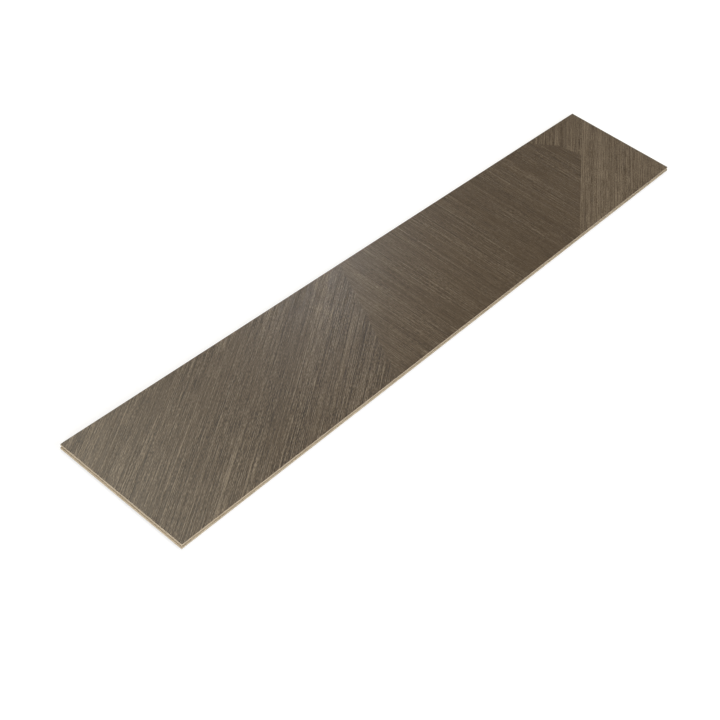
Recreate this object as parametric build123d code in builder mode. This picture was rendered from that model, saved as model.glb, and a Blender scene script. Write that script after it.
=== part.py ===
from build123d import *
import os

# Laminate floor plank with a click joint on all four sides, in millimetres.
# The origin is under the centre of the decor face, on the plane that the plank lies on.
# +X runs along the plank and +Y across it. The -X end and the -Y side carry the tongue,
# the +X end and the +Y side carry the groove above a lip that reaches out under the next plank.

# Decor face, the size that one plank covers when it is laid
face_length = 1210.0
face_width = 204.0
plank_thickness = 8.0
decor_thickness = 0.3

# Tongue, with a bevelled nose that finds its way into the groove
tongue_reach = 2.4
tongue_thickness = 2.3
nose_bevel = 0.7

# Lip below the groove: flat, with a locking ridge along its outer edge
lip_thickness = 2.3
long_lip_reach = 3.4
end_lip_reach = 7.0
ridge_width = 1.6
ridge_height = 0.6
ridge_slope = 0.5

# Play all round the joint, and how far a cutter runs past the stock
joint_clearance = 0.1
cutter_overrun = 5.0

# Heights and depths that follow from the sizes above
core_top = plank_thickness - decor_thickness
ridge_top = lip_thickness + ridge_height
tongue_bottom = lip_thickness + joint_clearance
tongue_top = tongue_bottom + tongue_thickness
groove_top = tongue_top + joint_clearance
groove_depth = tongue_reach + joint_clearance
pocket_top = ridge_top + joint_clearance
long_recess = long_lip_reach + joint_clearance
end_recess = end_lip_reach + joint_clearance
stock_length = tongue_reach + face_length + end_lip_reach
stock_width = tongue_reach + face_width + long_lip_reach
stock_centre = ((end_lip_reach - tongue_reach) / 2, (long_lip_reach - tongue_reach) / 2)
cutter_top = core_top + cutter_overrun
cutter_end = tongue_reach + cutter_overrun


def side_plane(outward, distance):
    """Section plane of one side: its x points out of the plank, its y points up."""
    return Plane(origin=outward * distance, x_dir=outward, z_dir=outward.cross(Vector(0, 0, 1)))


def cut_above_tongue():
    """Outline of the stock that is milled off above the tongue, back to the edge of the face."""
    return [
        (0, cutter_top),
        (0, tongue_top),
        (tongue_reach - nose_bevel, tongue_top),
        (tongue_reach, tongue_top - nose_bevel),
        (cutter_end, tongue_top - nose_bevel),
        (cutter_end, cutter_top),
    ]


def cut_below_tongue(recess):
    """Outline of the stock milled off below the tongue: the recess and the pocket for lip and ridge."""
    pocket_mouth = recess - ridge_width - 2 * joint_clearance
    return [
        (cutter_end, -cutter_overrun),
        (cutter_end, tongue_bottom + nose_bevel),
        (tongue_reach, tongue_bottom + nose_bevel),
        (tongue_reach - nose_bevel, tongue_bottom),
        (ridge_slope - pocket_mouth, tongue_bottom),
        (-pocket_mouth, pocket_top),
        (-recess, pocket_top),
        (-recess, -cutter_overrun),
    ]


def cut_above_lip(lip_reach):
    """Outline of the stock milled off above the lip: the groove, the step and the back of the ridge."""
    ridge_start = lip_reach - ridge_width
    return [
        (lip_reach + cutter_overrun, cutter_top),
        (0, cutter_top),
        (0, groove_top),
        (nose_bevel - groove_depth, groove_top),
        (-groove_depth, groove_top - nose_bevel),
        (-groove_depth, lip_thickness + nose_bevel),
        (nose_bevel - groove_depth, lip_thickness),
        (ridge_start - ridge_slope, lip_thickness),
        (ridge_start, ridge_top),
        (lip_reach + cutter_overrun, ridge_top),
    ]


# Each cutter runs straight through, so the corners come out as they do on a profiling line
length_run = stock_length + cutter_overrun
width_run = stock_width + cutter_overrun
tongue_side = side_plane(Vector(0, -1, 0), face_width / 2)
tongue_end = side_plane(Vector(-1, 0, 0), face_length / 2)
groove_side = side_plane(Vector(0, 1, 0), face_width / 2)
groove_end = side_plane(Vector(1, 0, 0), face_length / 2)
cuts = [
    (tongue_side, length_run, cut_above_tongue()),
    (tongue_side, length_run, cut_below_tongue(long_recess)),
    (groove_side, length_run, cut_above_lip(long_lip_reach)),
    (tongue_end, width_run, cut_above_tongue()),
    (tongue_end, width_run, cut_below_tongue(end_recess)),
    (groove_end, width_run, cut_above_lip(end_lip_reach)),
]

# Core board: pale fibreboard, profiled on all four sides
with BuildPart() as core_board:
    with BuildSketch(Plane.XY):
        with Locations(stock_centre):
            Rectangle(stock_length, stock_width)
    extrude(amount=core_top)
    for plane, run, outline in cuts:
        with BuildSketch(plane):
            with BuildLine():
                Polyline(*outline, close=True)
            make_face()
        extrude(amount=run, both=True, mode=Mode.SUBTRACT)
    # Each lip stops where the recess under the neighbouring tongue begins
    with BuildSketch(Plane.XY):
        with Locations((end_recess - face_length / 2, face_width / 2)):
            Rectangle(end_recess + cutter_end, long_lip_reach + cutter_overrun, align=(Align.MAX, Align.MIN))
        with Locations((face_length / 2, long_recess - face_width / 2)):
            Rectangle(end_lip_reach + cutter_overrun, long_recess + cutter_end, align=(Align.MIN, Align.MAX))
    extrude(amount=core_top, mode=Mode.SUBTRACT)
core_board.part.label = "core_board"

# Decor layer: the printed face sheet, pressed on the core and trimmed flush with it
with BuildPart() as decor_layer:
    with BuildSketch(Plane.XY.offset(core_top)):
        Rectangle(face_length, face_width)
    extrude(amount=decor_thickness)
decor_layer.part.label = "decor_layer"

os.makedirs("parts", exist_ok=True)
export_step(core_board.part, "parts/core_board.step")
export_step(decor_layer.part, "parts/decor_layer.step")
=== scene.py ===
# %% [markdown]
# # A laminate floor plank
# The plank is a sheet of pale fibreboard with a printed wood face pressed on it. Its sides are milled
# to a click joint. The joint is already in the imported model, so this lesson dresses it: the board gets
# a fibre finish, and the face gets its grain, as relief in the mesh and as print in the material.

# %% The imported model
import math

import bmesh
import bpy
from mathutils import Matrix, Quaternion, Vector


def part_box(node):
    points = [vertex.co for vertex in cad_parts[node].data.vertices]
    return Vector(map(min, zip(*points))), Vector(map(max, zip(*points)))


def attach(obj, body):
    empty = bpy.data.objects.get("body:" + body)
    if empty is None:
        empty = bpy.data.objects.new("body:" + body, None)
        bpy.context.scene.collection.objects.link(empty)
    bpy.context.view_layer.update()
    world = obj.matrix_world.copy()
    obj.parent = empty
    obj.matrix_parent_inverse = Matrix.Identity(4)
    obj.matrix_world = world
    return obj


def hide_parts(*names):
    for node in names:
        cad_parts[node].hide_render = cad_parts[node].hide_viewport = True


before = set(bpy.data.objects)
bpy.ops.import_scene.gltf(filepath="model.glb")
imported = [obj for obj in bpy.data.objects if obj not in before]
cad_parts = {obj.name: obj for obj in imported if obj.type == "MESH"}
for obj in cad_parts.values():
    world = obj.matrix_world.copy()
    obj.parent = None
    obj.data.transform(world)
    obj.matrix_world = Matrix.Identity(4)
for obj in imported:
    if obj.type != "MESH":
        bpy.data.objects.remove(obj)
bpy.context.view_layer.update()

core_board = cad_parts["core_board"]
face_low, face_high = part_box("decor_layer")
MM = 0.001
print("face", [round(side / MM, 2) for side in face_high - face_low], "mm")

# %% [markdown]
# ## Two small helpers
# Colours are given as sRGB hex values, but shaders work in linear light, so one function turns
# one into the other. A second adds a node to any tree. Writing trees this way keeps them readable: a
# line says what kind of node it is, what goes in and how it is set.

# %% Colour and node helpers


def linear(hex_colour):
    """Linear RGBA of an sRGB hex colour such as #8a7f70."""
    channels = [int(hex_colour[i:i + 2], 16) / 255 for i in (1, 3, 5)]
    curve = [c / 12.92 if c <= 0.04045 else ((c + 0.055) / 1.055) ** 2.4 for c in channels]
    return (*curve, 1.0)


def add(tree, kind, inputs=None, **settings):
    """Adds one node, sets its options, and sets or links its inputs by name or number."""
    node = tree.nodes.new(kind)
    for option, value in settings.items():
        setattr(node, option, value)
    for socket, value in (inputs or {}).items():
        if isinstance(value, bpy.types.NodeSocket):
            tree.links.new(value, node.inputs[socket])
        else:
            node.inputs[socket].default_value = value
    return node


print("mid taupe in linear light:", [round(c, 3) for c in linear("#6a5f52")])

# %% [markdown]
# ## The inlay
# The face is printed like straight-grained wood fitted together at angles, with a thin pale stringing
# line along one joint. Each piece is a region between straight seams, so the layout is a few lines,
# each given by a point and an angle. A point of the face belongs to a piece by the sides of the lines
# that it lies on. Drawing each piece as a polygon would do too, but then every shared corner is
# written twice, and the two can drift apart.

# %% Seams and pieces of the inlay
STRINGING = 1.5 * MM
MITRE_SEAM = (Vector((-0.1337, 0.0, 0.0)), math.radians(59))
FAR_SEAM = (Vector((0.2954, face_low.y, 0.0)), math.radians(30.4))
CORNER_SEAM = (Vector((0.4451, face_high.y, 0.0)), math.radians(-41.9))
TIP_SEAM = (Vector((0.4899, 0.062, 0.0)), math.radians(-77.9))
GRAIN_ANGLE = {"near": 30.0, "middle": 90.0, "far": 30.4, "corner": 30.9, "stringing": 30.4}
INLAYS = list(GRAIN_ANGLE)


def left_side(angle):
    """Unit vector to the left of a line that runs at an angle."""
    return Vector((-math.sin(angle), math.cos(angle), 0.0))


def left_of(seam, point):
    """Whether a point of the face lies to the left of a seam."""
    return left_side(seam[1]).dot(point - seam[0]) > 0


STRINGING_SEAM = (FAR_SEAM[0] - STRINGING * left_side(FAR_SEAM[1]), FAR_SEAM[1])


def inlay_at(point):
    """Name of the inlay piece under a point of the face."""
    flat = Vector((point.x, point.y, 0.0))
    if left_of(MITRE_SEAM, flat):
        return "near"
    if not left_of(FAR_SEAM, flat):
        return "stringing" if left_of(STRINGING_SEAM, flat) else "far"
    past_tip = left_of(CORNER_SEAM, flat) or left_of(TIP_SEAM, flat)
    return "corner" if past_tip else "middle"


print("grain at the near end runs at", GRAIN_ANGLE[inlay_at(Vector((-0.5, 0, 0)))], "degrees")

# %% [markdown]
# ## Cutting along the grain
# Relief needs a mesh that is fine across the grain and may be coarse along it. An even grid would have
# to be fine both ways, and would cross the seams at a slant. So each piece of the inlay is cut by
# parallel planes instead: a few across its grain, many along it. Only faces of that piece are cut.

# %% Cuts along the grain
STRIP_WIDTH = 1.1 * MM
STRIP_LENGTH = 12 * MM
CUT_TOLERANCE = 1e-7


def parts_of(mesh, *names):
    """Faces of some pieces of the inlay, with their edges and corners."""
    faces = [face for face in mesh.faces if inlay_at(face.calc_center_median()) in names]
    parts = set(faces)
    for face in faces:
        parts.update(face.edges)
        parts.update(face.verts)
    return list(parts)


def cut_along(mesh, parts, line):
    """Cuts parts of a mesh along a line of the face, and gives them with what the cut made."""
    across = left_side(line[1])
    cut = bmesh.ops.bisect_plane(mesh, geom=parts, dist=CUT_TOLERANCE, plane_co=line[0], plane_no=across)
    return cut["geom"]


def cut_into_strips(mesh, name):
    """Cuts a piece of the inlay into lengths across its grain, and those into strips along it."""
    grain = math.radians(GRAIN_ANGLE[name])
    parts = parts_of(mesh, name)
    for angle, step in ((grain + math.pi / 2, STRIP_LENGTH), (grain, STRIP_WIDTH)):
        side = left_side(angle)
        reach = [side.dot(part.co) for part in parts if isinstance(part, bmesh.types.BMVert)]
        for i in range(1, math.ceil((max(reach) - min(reach)) / step)):
            parts = cut_along(mesh, parts, ((min(reach) + i * step) * side, angle))


print("strips", round(STRIP_LENGTH / MM, 1), "mm long and", round(STRIP_WIDTH / MM, 1), "mm wide")

# %% [markdown]
# ## The decor sheet
# The sheet starts as one rectangle, cut along the seams and then into strips. Its rim is drawn out and
# down: first by the arris, the fine bevel that a cutter leaves, then to the board. Cutting one
# rectangle keeps the sheet a single closed skin, where separate plates would leave walls inside it.

# %% Decor sheet
ARRIS = 0.15 * MM


def draw_out(mesh, rim, outward, level):
    """Draws a rim of edges out by a distance and to a level, and gives the new rim."""
    grown = bmesh.ops.extrude_edge_only(mesh, edges=rim)["geom"]
    for vertex in (part for part in grown if isinstance(part, bmesh.types.BMVert)):
        for axis in (0, 1):
            if abs(vertex.co[axis] - face_low[axis]) < 2 * ARRIS:
                vertex.co[axis] -= outward
            elif abs(vertex.co[axis] - face_high[axis]) < 2 * ARRIS:
                vertex.co[axis] += outward
        vertex.co.z = level
    return [part for part in grown if isinstance(part, bmesh.types.BMEdge)]


def make_decor_sheet():
    """Closed sheet, its top cut into strips along the grain of each piece of the inlay."""
    mesh = bmesh.new()
    low_x, low_y = face_low.x + ARRIS, face_low.y + ARRIS
    high_x, high_y = face_high.x - ARRIS, face_high.y - ARRIS
    corners = ((low_x, low_y), (high_x, low_y), (high_x, high_y), (low_x, high_y))
    mesh.faces.new([mesh.verts.new((x, y, face_high.z)) for x, y in corners])
    cut_along(mesh, parts_of(mesh, *INLAYS), MITRE_SEAM)
    cut_along(mesh, parts_of(mesh, "middle", "far", "corner", "stringing"), FAR_SEAM)
    cut_along(mesh, parts_of(mesh, "far", "stringing"), STRINGING_SEAM)
    for seam in (CORNER_SEAM, TIP_SEAM):
        cut_along(mesh, parts_of(mesh, "middle", "corner"), seam)
    for name in INLAYS:
        cut_into_strips(mesh, name)
    rim = [edge for edge in mesh.edges if edge.is_boundary]
    rim = draw_out(mesh, rim, ARRIS, face_high.z - ARRIS)
    rim = draw_out(mesh, rim, 0.0, face_low.z)
    bmesh.ops.triangle_fill(mesh, edges=rim, use_beauty=True)
    bmesh.ops.recalc_face_normals(mesh, faces=mesh.faces)
    data = bpy.data.meshes.new("decor_sheet")
    mesh.to_mesh(data)
    mesh.free()
    sheet = bpy.data.objects.new("decor_sheet", data)
    bpy.context.scene.collection.objects.link(sheet)
    return sheet


decor_sheet = make_decor_sheet()
print("decor sheet:", len(decor_sheet.data.polygons), "faces")

# %% [markdown]
# ## Laying the print along the grain
# Print and relief both follow a UV map that runs along the grain of each piece, in metres. Each piece
# starts at its own place on the pattern, as pieces sawn from different boards would. More values go with
# it: how light a piece is, how bold its figure is, and how far the press may sink a point. That last is
# nothing on seams and rims, so they stay crisp.

# %% Grain map
INLAY_TONE = {"near": -0.05, "middle": -0.01, "far": 0.19, "corner": 0.11, "stringing": 0.30}
INLAY_FIGURE = {"near": 1.5, "middle": 1.0, "far": 1.15, "corner": 1.2, "stringing": 1.0}
PATTERN_STEP = 3.7
LEVEL_FACE = 0.99


def lay_grain_map(piece):
    """Gives a mesh its grain UV map, the tone and figure of each face and the press mask of each point."""
    data = piece.data
    grain = data.uv_layers.new(name="grain")
    tone = data.attributes.new("inlay_tone", "FLOAT", "FACE")
    figure = data.attributes.new("inlay_figure", "FLOAT", "FACE")
    press = data.attributes.new("press", "FLOAT", "POINT")
    seen_in = [set() for _ in data.vertices]
    for face in data.polygons:
        name = inlay_at(face.center)
        tone.data[face.index].value = INLAY_TONE[name]
        figure.data[face.index].value = INLAY_FIGURE[name]
        angle = math.radians(GRAIN_ANGLE[name])
        start = PATTERN_STEP * INLAYS.index(name)
        for loop in face.loop_indices:
            vertex = data.vertices[data.loops[loop].vertex_index]
            along = vertex.co.dot(Vector((math.cos(angle), math.sin(angle), 0.0)))
            grain.data[loop].uv = (start + along, start + vertex.co.dot(left_side(angle)))
            seen_in[vertex.index].add(name if face.normal.z > LEVEL_FACE else "side")
    for vertex, names in zip(data.vertices, seen_in):
        press.data[vertex.index].value = float(len(names) == 1 and names != {"side"})
    return sum(1 for point in press.data if point.value)


print("points free to be pressed:", lay_grain_map(decor_sheet))

# %% [markdown]
# ## Streaks and threads
# The decor is a picture of wood, printed on paper. Its marks are long streaks, short fibre, thin pale and
# dark threads, wider pores and slow drifts of tone. A picture file could give them, but it repeats and
# is only as sharp as its pixels. Noise stretched along the grain gives the same marks at any size. Each
# layer has a length and a width, and its share of the tone says how strongly it shows. Threads are the
# peaks of a layer alone. Fibre and threads in real wood are about a quarter of a millimetre wide, too
# fine for the picture, so they are drawn three times as wide.

# %% Layers of the print
STREAK_LAYERS = (
    # length mm, width mm, detail, share of the tone
    (420, 0.9, 1.0, 0.56),
    (28, 0.9, 1.0, 0.68),
    (5, 0.9, 0.0, 0.50),
    (800, 22.0, 1.0, 0.06),
    (180, 70.0, 2.0, 0.08),
)
PALE_THREADS = {"length": 300, "width": 0.8, "start": 0.60, "full": 0.66, "share": 0.24, "seed": 11}
DARK_THREADS = {"length": 260, "width": 0.8, "start": 0.60, "full": 0.66, "share": -0.22, "seed": 13}
THREAD_DETAIL = 1.0
PRESSED_PORES = {"length": 200, "width": 2.6, "start": 0.58, "full": 0.68, "share": -0.05, "seed": 12}


def stretched_noise(tree, grain, length, width, detail, seed):
    """Noise drawn out along the grain, with streaks of about this length and width in millimetres."""
    scale = (1 / (length * MM), 1 / (width * MM), 1.0)
    spot = add(tree, "ShaderNodeMapping", {"Vector": grain, "Location": (seed, seed, 0), "Scale": scale})
    noise = add(tree, "ShaderNodeTexNoise", {"Vector": spot.outputs[0], "Scale": 1.0, "Detail": detail},
                noise_dimensions="2D")
    return noise.outputs[0]


def printed_marks(tree, grain):
    """All marks of the print added up, light above zero and dark below it, and the pores by themselves."""
    mark = -sum(share for *_, share in STREAK_LAYERS) / 2
    for seed, (length, width, detail, share) in enumerate(STREAK_LAYERS):
        layer = stretched_noise(tree, grain, length, width, detail, seed + 1)
        mark = add(tree, "ShaderNodeMath", {0: layer, 1: share, 2: mark}, operation="MULTIPLY_ADD").outputs[0]
    for threads in (PALE_THREADS, DARK_THREADS, PRESSED_PORES):
        layer = stretched_noise(
            tree, grain, threads["length"], threads["width"], THREAD_DETAIL, threads["seed"])
        thread = add(tree, "ShaderNodeMapRange", {
            0: layer, 1: threads["start"], 2: threads["full"], 3: 0.0, 4: threads["share"]}).outputs[0]
        mark = add(tree, "ShaderNodeMath", {0: mark, 1: thread}, operation="ADD").outputs[0]
    return mark, layer


print("layers of the print:", len(STREAK_LAYERS) + 3)

# %% [markdown]
# ## The print under its coat
# The paper lies under a clear, hard melamine coat with a satin finish. What the eye gets is a streaked
# taupe, bolder in some patches than in others, and a soft sheen that breaks up along the grain. So the
# marks go three ways: through a ramp into the colour, into a fine bump, and, from the pores, into a
# slightly uneven gloss. The coat has the IOR of plain plastic.

# %% Decor print material
PRINT_TONES = ((0.0, "#2c2218"), (0.5, "#554736"), (1.0, "#8a7c69"))
FIGURE_PATCH = {"length": 170, "width": 45, "detail": 1.0, "seed": 24}
PATCH_BOLDNESS = (0.75, 1.25)
NOISE_SPREAD = (0.35, 0.65)
PORE_SPREAD = (0.3, 0.7)
SATIN_ROUGHNESS = (0.29, 0.33)
PRINT_RELIEF = 0.09 * MM
COAT_IOR = 1.5


def figure_boldness(tree, grain):
    """How strongly the marks show: by piece of the inlay, and by patch within it."""
    patch = add(tree, "ShaderNodeMapRange", {
        0: stretched_noise(tree, grain, **FIGURE_PATCH), 1: NOISE_SPREAD[0], 2: NOISE_SPREAD[1],
        3: PATCH_BOLDNESS[0], 4: PATCH_BOLDNESS[1]}).outputs[0]
    piece = add(tree, "ShaderNodeAttribute", attribute_name="inlay_figure").outputs["Fac"]
    return add(tree, "ShaderNodeMath", {0: piece, 1: patch}, operation="MULTIPLY").outputs[0]


def make_decor_print():
    """Wood print on paper, pressed under a clear satin coat."""
    material = bpy.data.materials.new("wood_print_laminate")
    material.use_nodes = True
    tree = material.node_tree
    tree.nodes.clear()
    grain = add(tree, "ShaderNodeUVMap", uv_map="grain").outputs[0]
    mark, pores = printed_marks(tree, grain)
    figure = figure_boldness(tree, grain)
    base = add(tree, "ShaderNodeAttribute", attribute_name="inlay_tone").outputs["Fac"]
    base = add(tree, "ShaderNodeMath", {0: base, 1: PRINT_TONES[1][0]}, operation="ADD").outputs[0]
    tone = add(tree, "ShaderNodeMath", {0: mark, 1: figure, 2: base}, operation="MULTIPLY_ADD").outputs[0]
    ramp = add(tree, "ShaderNodeValToRGB", {"Fac": tone})
    ramp.color_ramp.elements[0].color = linear(PRINT_TONES[0][1])
    ramp.color_ramp.elements[1].color = linear(PRINT_TONES[-1][1])
    for place, colour in PRINT_TONES[1:-1]:
        ramp.color_ramp.elements.new(place).color = linear(colour)
    gloss = add(tree, "ShaderNodeMapRange", {
        0: pores, 1: PORE_SPREAD[0], 2: PORE_SPREAD[1], 3: SATIN_ROUGHNESS[0], 4: SATIN_ROUGHNESS[1]})
    relief = add(tree, "ShaderNodeBump", {"Strength": 1.0, "Distance": PRINT_RELIEF, "Height": mark})
    shader = add(tree, "ShaderNodeBsdfPrincipled", {
        "Base Color": ramp.outputs[0], "Roughness": gloss.outputs[0], "Normal": relief.outputs[0],
        "IOR": COAT_IOR})
    add(tree, "ShaderNodeOutputMaterial", {"Surface": shader.outputs[0]})
    return material


wood_print = make_decor_print()
print("print material:", len(wood_print.node_tree.nodes), "nodes")

# %% [markdown]
# ## Embossing
# A press plate sinks shallow grooves into the coat, in line with the pores of the print. Makers call that
# embossed in register. It follows a rule, so it is a job for Geometry Nodes: the tree works out the same
# noise as the pores of the print, at the same places, and sinks each point by it. Only the points that
# the press mask frees are moved, and only down, so the sheet keeps its size.

# %% Groove tree
GROOVES = {
    "Groove Length": PRESSED_PORES["length"] * MM,
    "Groove Width": PRESSED_PORES["width"] * MM,
    "Groove Start": PRESSED_PORES["start"],
    "Groove Full": PRESSED_PORES["full"],
    "Depth": 0.05 * MM,
    "Seed": float(PRESSED_PORES["seed"]),
}


def make_groove_tree():
    """Tree that presses grooves into a sheet, along its grain map."""
    tree = bpy.data.node_groups.new("grain_grooves", "GeometryNodeTree")
    tree.interface.new_socket("Geometry", in_out="INPUT", socket_type="NodeSocketGeometry")
    for name in GROOVES:
        tree.interface.new_socket(name, in_out="INPUT", socket_type="NodeSocketFloat")
    tree.interface.new_socket("Finish", in_out="INPUT", socket_type="NodeSocketMaterial")
    tree.interface.new_socket("Geometry", in_out="OUTPUT", socket_type="NodeSocketGeometry")
    given = add(tree, "NodeGroupInput").outputs
    grain = add(tree, "GeometryNodeInputNamedAttribute", {"Name": "grain"}, data_type="FLOAT_VECTOR")
    press = add(tree, "GeometryNodeInputNamedAttribute", {"Name": "press"}, data_type="FLOAT")
    size = add(tree, "ShaderNodeCombineXYZ", {0: given["Groove Length"], 1: given["Groove Width"], 2: 1.0})
    place = add(tree, "ShaderNodeVectorMath", {0: grain.outputs[0], 1: size.outputs[0]}, operation="DIVIDE")
    shift = add(tree, "ShaderNodeCombineXYZ", {0: given["Seed"], 1: given["Seed"]})
    place = add(tree, "ShaderNodeVectorMath", {0: place.outputs[0], 1: shift.outputs[0]}, operation="ADD")
    noise = add(tree, "ShaderNodeTexNoise", {
        "Vector": place.outputs[0], "Scale": 1.0, "Detail": THREAD_DETAIL}, noise_dimensions="2D")
    sunk = add(tree, "ShaderNodeMapRange", {
        0: noise.outputs[0], 1: given["Groove Start"], 2: given["Groove Full"], 3: 0.0, 4: press.outputs[0]})
    drop = add(tree, "ShaderNodeMath", {0: sunk.outputs[0], 1: given["Depth"]}, operation="MULTIPLY")
    down = add(tree, "ShaderNodeMath", {0: drop.outputs[0], 1: -1.0}, operation="MULTIPLY")
    move = add(tree, "ShaderNodeCombineXYZ", {2: down.outputs[0]})
    pressed = add(tree, "GeometryNodeSetPosition", {0: given["Geometry"], "Offset": move.outputs[0]})
    whole = add(tree, "GeometryNodeRealizeInstances", {0: pressed.outputs[0]})
    finished = add(tree, "GeometryNodeSetMaterial", {0: whole.outputs[0], "Material": given["Finish"]})
    add(tree, "NodeGroupOutput", {0: finished.outputs[0]})
    return tree


groove_tree = make_groove_tree()
print("groove tree:", len(groove_tree.nodes), "nodes")

# %% [markdown]
# ## Pressing the sheet
# A modifier runs the tree on the sheet. Left live, it would have to be worked out again by whatever
# opens the model, so its result is kept as a plain mesh and the modifier is taken off. The sheet then
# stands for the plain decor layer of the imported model.

# %% Pressed decor sheet


def apply_tree(piece, tree, values):
    """Runs a node tree on a piece and keeps the result as its plain mesh."""
    modifier = piece.modifiers.new(tree.name, "NODES")
    modifier.node_group = tree
    for socket in tree.interface.items_tree:
        if socket.name in values:
            modifier[socket.identifier] = values[socket.name]
    evaluated = piece.evaluated_get(bpy.context.evaluated_depsgraph_get())
    result = bpy.data.meshes.new_from_object(evaluated)
    piece.modifiers.remove(modifier)
    piece.data = result


apply_tree(decor_sheet, groove_tree, {**GROOVES, "Finish": wood_print})
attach(decor_sheet, "root")
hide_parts("decor_layer")
sunk = [face_high.z - v.co.z for v in decor_sheet.data.vertices if v.co.z > face_high.z - ARRIS / 2]
print("deepest groove", round(max(sunk) / MM, 3), "mm, on", len(decor_sheet.data.polygons), "faces")

# %% [markdown]
# ## The fibreboard
# The board is wood fibre pressed hard between plates, and milled bare on its sides. What the eye gets is a
# matte tan, finely speckled, with faint level lines on the sides, because the fibres lie flat. Its shape
# is right as imported, so it only needs the finish. Two noises make it, one even and one flattened, and both
# read the board's own coordinates, so they run round its corners. A single fibre is far too fine to
# show, so specks and lines are drawn as coarse as clumps of fibre.

# %% Fibreboard material
FIBRE_CLUMP = 1.2 * MM
FIBRE_LINE_LENGTH = 30 * MM
FIBRE_LINE_HEIGHT = 0.8 * MM
FIBRE_LINE_SHARE = 0.4
SPECK_DETAIL = 3.0
LINE_DETAIL = 2.0
FIBRE_TONES = ((0.3, "#a0927a"), (0.5, "#b7a994"), (0.7, "#c8bca8"))
FIBRE_RELIEF = 0.05 * MM
FIBRE_BUMP = 0.3
FIBRE_ROUGHNESS = 0.85
WOOD_IOR = 1.45


def fibre_pattern(tree):
    """Specks of fibre mixed with flat lines, about 0.5."""
    place = add(tree, "ShaderNodeTexCoord").outputs["Object"]
    specks = add(tree, "ShaderNodeTexNoise", {
        "Vector": place, "Scale": 1 / FIBRE_CLUMP, "Detail": SPECK_DETAIL})
    flat = (1 / FIBRE_LINE_LENGTH, 1 / FIBRE_LINE_LENGTH, 1 / FIBRE_LINE_HEIGHT)
    spot = add(tree, "ShaderNodeMapping", {"Vector": place, "Scale": flat})
    lines = add(tree, "ShaderNodeTexNoise", {
        "Vector": spot.outputs[0], "Scale": 1.0, "Detail": LINE_DETAIL})
    return add(tree, "ShaderNodeMix", {
        "Factor": FIBRE_LINE_SHARE, "A": specks.outputs[0], "B": lines.outputs[0]}).outputs[0]


def make_fibreboard():
    """Bare fibreboard as the cutter leaves it: pale tan and matte."""
    material = bpy.data.materials.new("milled_fibreboard")
    material.use_nodes = True
    tree = material.node_tree
    tree.nodes.clear()
    fibre = fibre_pattern(tree)
    ramp = add(tree, "ShaderNodeValToRGB", {"Fac": fibre})
    ramp.color_ramp.elements.remove(ramp.color_ramp.elements[1])
    for position, colour in FIBRE_TONES[1:]:
        ramp.color_ramp.elements.new(position).color = linear(colour)
    ramp.color_ramp.elements[0].position = FIBRE_TONES[0][0]
    ramp.color_ramp.elements[0].color = linear(FIBRE_TONES[0][1])
    relief = add(tree, "ShaderNodeBump", {
        "Strength": FIBRE_BUMP, "Distance": FIBRE_RELIEF, "Height": fibre})
    shader = add(tree, "ShaderNodeBsdfPrincipled", {
        "Base Color": ramp.outputs[0], "Roughness": FIBRE_ROUGHNESS, "Normal": relief.outputs[0],
        "IOR": WOOD_IOR})
    add(tree, "ShaderNodeOutputMaterial", {"Surface": shader.outputs[0]})
    return material


fibreboard = make_fibreboard()
for material_slot in core_board.material_slots:
    material_slot.material = fibreboard
print("board finish:", fibreboard.name)

# %% [markdown]
# ## White paper
# The plank is shown on white paper, which the eye takes as an even white that only a soft shadow breaks.
# Lighting the paper until it is white would light the plank too, so it glows instead, for the camera and
# for reflections alone. It glows less close to the plank, where it has to keep the shadow. Its own colour
# is a mid grey, because a paler one would throw much light up at the milled sides and flatten them.

# %% White paper material
SHADOW_REACH = (0.65, 1.1)
SHADOW_GLOW = 0.80
PAPER_COLOUR = "#959595"


def make_white_paper():
    """White paper that keeps the shadow near the plank and reads as white further out."""
    material = bpy.data.materials.new("white_paper")
    material.use_nodes = True
    tree = material.node_tree
    tree.nodes.clear()
    rays = add(tree, "ShaderNodeLightPath").outputs
    seen = rays["Is Camera Ray"]
    for ray in ("Is Glossy Ray", "Is Transmission Ray"):
        seen = add(tree, "ShaderNodeMath", {0: seen, 1: rays[ray]}, operation="MAXIMUM").outputs[0]
    place = add(tree, "ShaderNodeTexCoord").outputs["Object"]
    far = add(tree, "ShaderNodeVectorMath", {0: place}, operation="LENGTH").outputs["Value"]
    glow = add(tree, "ShaderNodeMapRange", {
        0: far, 1: SHADOW_REACH[0], 2: SHADOW_REACH[1], 3: SHADOW_GLOW, 4: 1.0})
    glow = add(tree, "ShaderNodeMath", {0: glow.outputs[0], 1: seen}, operation="MULTIPLY")
    light = add(tree, "ShaderNodeEmission", {"Strength": glow.outputs[0]})
    paint = add(tree, "ShaderNodeBsdfDiffuse", {"Color": linear(PAPER_COLOUR)})
    both = add(tree, "ShaderNodeAddShader", {0: light.outputs[0], 1: paint.outputs[0]})
    add(tree, "ShaderNodeOutputMaterial", {"Surface": both.outputs[0]})
    return material


white_paper = make_white_paper()
print("paper glows", SHADOW_GLOW, "within", SHADOW_REACH[0], "m of the middle")

# %% [markdown]
# ## The sweep
# The paper is a floor that bends up into a low wall all round, so that no edge of it shows behind the
# plank from any side. Four sheets would meet in corners, so the shape is one section spun round.

# %% White sweep
SWEEP_REACH = 12.0
SWEEP_BEND = 1.5
SWEEP_HEIGHT = 2.2
SWEEP_DROP = 0.2 * MM
BEND_STEP = 15
SPIN_STEPS = 48
MERGE_DISTANCE = 1e-6


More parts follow.
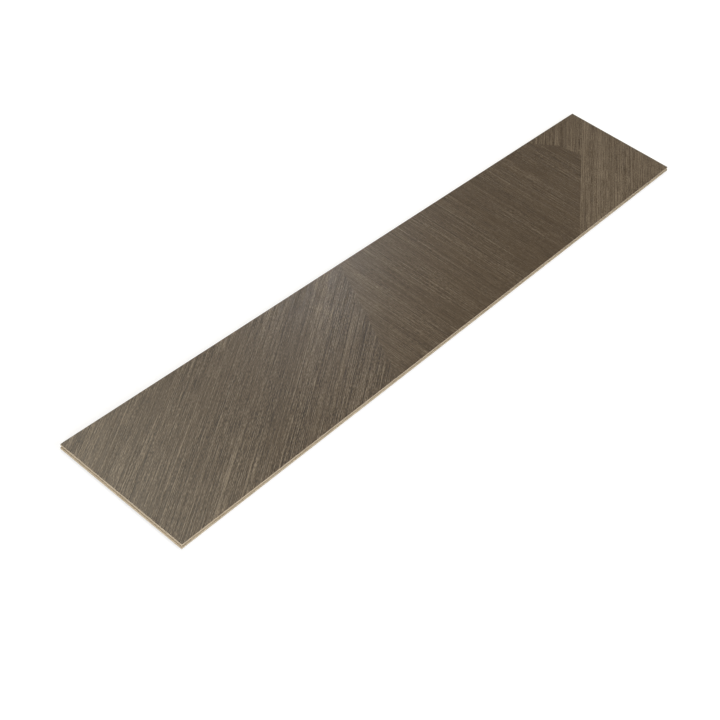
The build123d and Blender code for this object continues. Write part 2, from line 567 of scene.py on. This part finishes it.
def make_sweep():
    """Floor, bend and low wall, spun from their section."""
    section = [(0.0, 0.0)]
    for turn in (math.radians(angle) for angle in range(0, 91, BEND_STEP)):
        section.append((SWEEP_REACH - SWEEP_BEND * (1 - math.sin(turn)), SWEEP_BEND * (1 - math.cos(turn))))
    section.append((SWEEP_REACH, SWEEP_HEIGHT))
    mesh = bmesh.new()
    points = [mesh.verts.new((x, 0.0, z - SWEEP_DROP)) for x, z in section]
    line = [mesh.edges.new(pair) for pair in zip(points, points[1:])]
    bmesh.ops.spin(
        mesh, geom=points + line, axis=(0, 0, 1), angle=2 * math.pi, steps=SPIN_STEPS, use_merge=True)
    bmesh.ops.remove_doubles(mesh, verts=mesh.verts, dist=MERGE_DISTANCE)
    data = bpy.data.meshes.new("white_sweep")
    mesh.to_mesh(data)
    mesh.free()
    data.materials.append(white_paper)
    sweep = bpy.data.objects.new("white_sweep", data)
    bpy.context.scene.collection.objects.link(sweep)
    return sweep


white_sweep = make_sweep()
print("sweep", [round(side, 2) for side in white_sweep.dimensions], "m")

# %% [markdown]
# ## Light
# Plain soft light shows a satin face best: two soft boxes high on the left, whose reflections lie along
# the near half of the face, a small one for the brighter spot at the mitre, and a box for each of the two
# milled sides in view. An even, dim world fills the shadows. Lamps could also be placed by eye, but a
# reflection is found faster by its angle: it leaves the face as steeply as the camera looks at it. The
# boxes for the sides are kept out of reflections, so that the face doesn't glare from behind.

# %% Light
FILL = 0.14
PLAIN_WHITE = "#ffffff"
WARM_WHITE = "#fff8e6"
MIDDLE = (-0.1, 0.0, 0.0)


def soft_box(name, place, size, power, colour=PLAIN_WHITE, mirrored=True):
    """Square area lamp, in metres and watts, that faces the middle of the plank."""
    lamp = bpy.data.lights.new(name, "AREA")
    lamp.size = size
    lamp.energy = power
    lamp.color = linear(colour)[:3]
    box = bpy.data.objects.new(name, lamp)
    box.visible_glossy = mirrored
    box.location = place
    box.rotation_euler = (Vector(MIDDLE) - Vector(place)).to_track_quat("-Z", "Y").to_euler()
    bpy.context.scene.collection.objects.link(box)
    return box


soft_box("key_box", (0.2, 1.6, 2.9), 2.0, 48, WARM_WHITE)
soft_box("near_box", (0.35, 1.15, 2.0), 1.0, 2.0, WARM_WHITE)
soft_box("sheen_box", (1.23, 1.01, 1.32), 0.25, 2.4)
soft_box("right_box", (0.0, -2.4, 1.4), 1.4, 52, mirrored=False)
soft_box("end_box", (-2.7, -1.0, 0.35), 0.7, 56, mirrored=False)

world = bpy.data.worlds.new("studio")
bpy.context.scene.world = world
world.use_nodes = True
world.node_tree.nodes.clear()
sky = add(world.node_tree, "ShaderNodeBackground", {"Color": linear(PLAIN_WHITE), "Strength": FILL})
add(world.node_tree, "ShaderNodeOutputWorld", {"Surface": sky.outputs[0]})

# %% [markdown]
# ## Camera
# The camera stands where the photograph was taken from: above the near end and to its right, with a
# slight roll. Its place and angles come from the edges of the face, whose real sizes are known, and
# the lens is given by its focal length in pixels of the square picture.

# %% Camera
IMAGE_SIDE = 720
SENSOR_WIDTH = 36.0
FOCAL_PIXELS = 1220.8
CAMERA_PLACE = Vector((-1.2735, -0.6393, 1.1390))
CAMERA_AZIMUTH = math.radians(-60.912)
CAMERA_ELEVATION = math.radians(42.885)
CAMERA_ROLL = math.radians(14.307)

lens = bpy.data.cameras.new("photo_camera")
lens.sensor_width = SENSOR_WIDTH
lens.lens = SENSOR_WIDTH * FOCAL_PIXELS / IMAGE_SIDE
camera = bpy.data.objects.new("photo_camera", lens)
towards_camera = Vector((
    math.sin(CAMERA_AZIMUTH) * math.cos(CAMERA_ELEVATION),
    -math.cos(CAMERA_AZIMUTH) * math.cos(CAMERA_ELEVATION),
    math.sin(CAMERA_ELEVATION),
))
turn = towards_camera.to_track_quat("Z", "Y") @ Quaternion((0, 0, 1), CAMERA_ROLL)
camera.location = CAMERA_PLACE
camera.rotation_euler = turn.to_euler()
bpy.context.scene.collection.objects.link(camera)
bpy.context.scene.camera = camera
bpy.context.scene.view_settings.view_transform = "Standard"
print("lens", round(lens.lens, 2), "mm")
